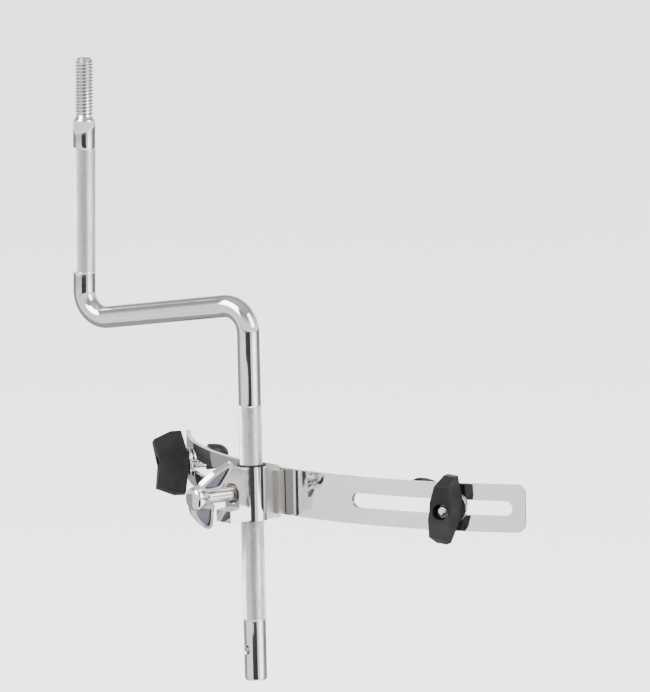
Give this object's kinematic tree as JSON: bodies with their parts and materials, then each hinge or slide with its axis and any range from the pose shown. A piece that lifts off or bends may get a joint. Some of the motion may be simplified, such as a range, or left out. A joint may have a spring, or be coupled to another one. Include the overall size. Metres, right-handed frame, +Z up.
{
  "type": "drum-mounted percussion rod holder",
  "caption": "Curved slotted chrome band that hooks to a drum's tension rods and clamps a cranked, knurled Z rod with a threaded stud for a small percussion accessory.",
  "frame": {"origin": "centre of the band's inner, drum-facing side, mid-height at the clamp", "axes": "+Z up along the drum's axis, -Y outwards from the drum at the clamp, +X along the band to the right as seen from outside"},
  "size_m": [0.234, 0.0864, 0.2655],
  "materials": {
    "rod_chrome": "polished chrome plate, fine diamond knurl on two lengths, threaded stud",
    "band_chrome": "mirror chrome plate",
    "clamp_chrome": "chrome-plated casting",
    "rivet_steel": "plated steel rivet heads",
    "liner_nylon": "black nylon",
    "insert_brass": "dull brass",
    "bolt_chrome": "chrome-plated thread",
    "wing_chrome": "chrome-plated cast wings",
    "hook_chrome": "chrome-plated hook bolt",
    "sleeve_vinyl": "black vinyl sleeve",
    "washer_chrome": "chrome-plated flat washer",
    "nut_plastic": "black moulded plastic, faint texture"
  },
  "bodies": {
    "bracket": {"bracket_band": "band_chrome", "rod_clamp": "clamp_chrome", "clamp_rivet_lower": "rivet_steel", "clamp_rivet_upper": "rivet_steel", "bolt_insert": "insert_brass"},
    "swivel_liner": {"rod_liner": "liner_nylon"},
    "rod": {"z_rod": "rod_chrome"},
    "pressure_pad": {"clamp_pad": "insert_brass"},
    "wing_bolt": {"wing_bolt_shank": "bolt_chrome", "wing_bolt_head": "wing_chrome"},
    "right_washer": {"washer_right": "washer_chrome"},
    "right_hook": {"hook_bolt_right": "hook_chrome", "hook_sleeve_right": "sleeve_vinyl"},
    "right_nut": {"wing_nut_right": "nut_plastic", "nut_insert_right": "insert_brass"},
    "left_washer": {"washer_left": "washer_chrome"},
    "left_hook": {"hook_bolt_left": "hook_chrome", "hook_sleeve_left": "sleeve_vinyl"},
    "left_nut": {"wing_nut_left": "nut_plastic", "nut_insert_left": "insert_brass"}
  },
  "joints": [
    {"name": "rod_swivel", "type": "hinge", "parent": "bracket", "child": "swivel_liner", "pos_m": [0, -0.013, 0], "axis": [0, 0, 1], "continuous": true},
    {"name": "rod_height", "type": "slide", "parent": "swivel_liner", "child": "rod", "axis": [0, 0, 1], "range_m": [-0.048, 0.054]},
    {"name": "bolt_advance", "type": "slide", "parent": "bracket", "child": "pressure_pad", "axis": [0, -1, 0], "range_m": [0, 0.003]},
    {"name": "bolt_turn", "type": "hinge", "parent": "pressure_pad", "child": "wing_bolt", "pos_m": [0, -0.013, 0.0006], "axis": [0, -1, 0], "range_deg": [0, 1080]},
    {"name": "right_hook_travel", "type": "hinge", "parent": "bracket", "child": "right_washer", "pos_m": [0, 0.184, 0], "axis": [0, 0, 1], "range_deg": [-13.6, 6.7]},
    {"name": "right_hook_draw", "type": "slide", "parent": "right_washer", "child": "right_hook", "axis": [-0.4909, 0.8712, 0], "range_m": [0, 0.006]},
    {"name": "right_nut_turn", "type": "hinge", "parent": "right_washer", "child": "right_nut", "pos_m": [0.09212, 0.02052, 0], "axis": [0.4909, -0.8712, 0], "range_deg": [0, 2160]},
    {"name": "left_hook_travel", "type": "hinge", "parent": "bracket", "child": "left_washer", "pos_m": [0, 0.184, 0], "axis": [0, 0, 1], "range_deg": [-8.1, 12.2]},
    {"name": "left_hook_draw", "type": "slide", "parent": "left_washer", "child": "left_hook", "axis": [0.4695, 0.8829, 0], "range_m": [0, 0.006]},
    {"name": "left_nut_turn", "type": "hinge", "parent": "left_washer", "child": "left_nut", "pos_m": [-0.0881, 0.01832, 0], "axis": [-0.4695, -0.8829, 0], "range_deg": [0, 2160]}
  ],
  "couplings": [
    {"joint": "bolt_turn", "follows": "bolt_advance", "rad_per_m": 6283.2},
    {"joint": "right_nut_turn", "follows": "right_hook_draw", "rad_per_m": 6283.2},
    {"joint": "left_nut_turn", "follows": "left_hook_draw", "rad_per_m": 6283.2}
  ]
}
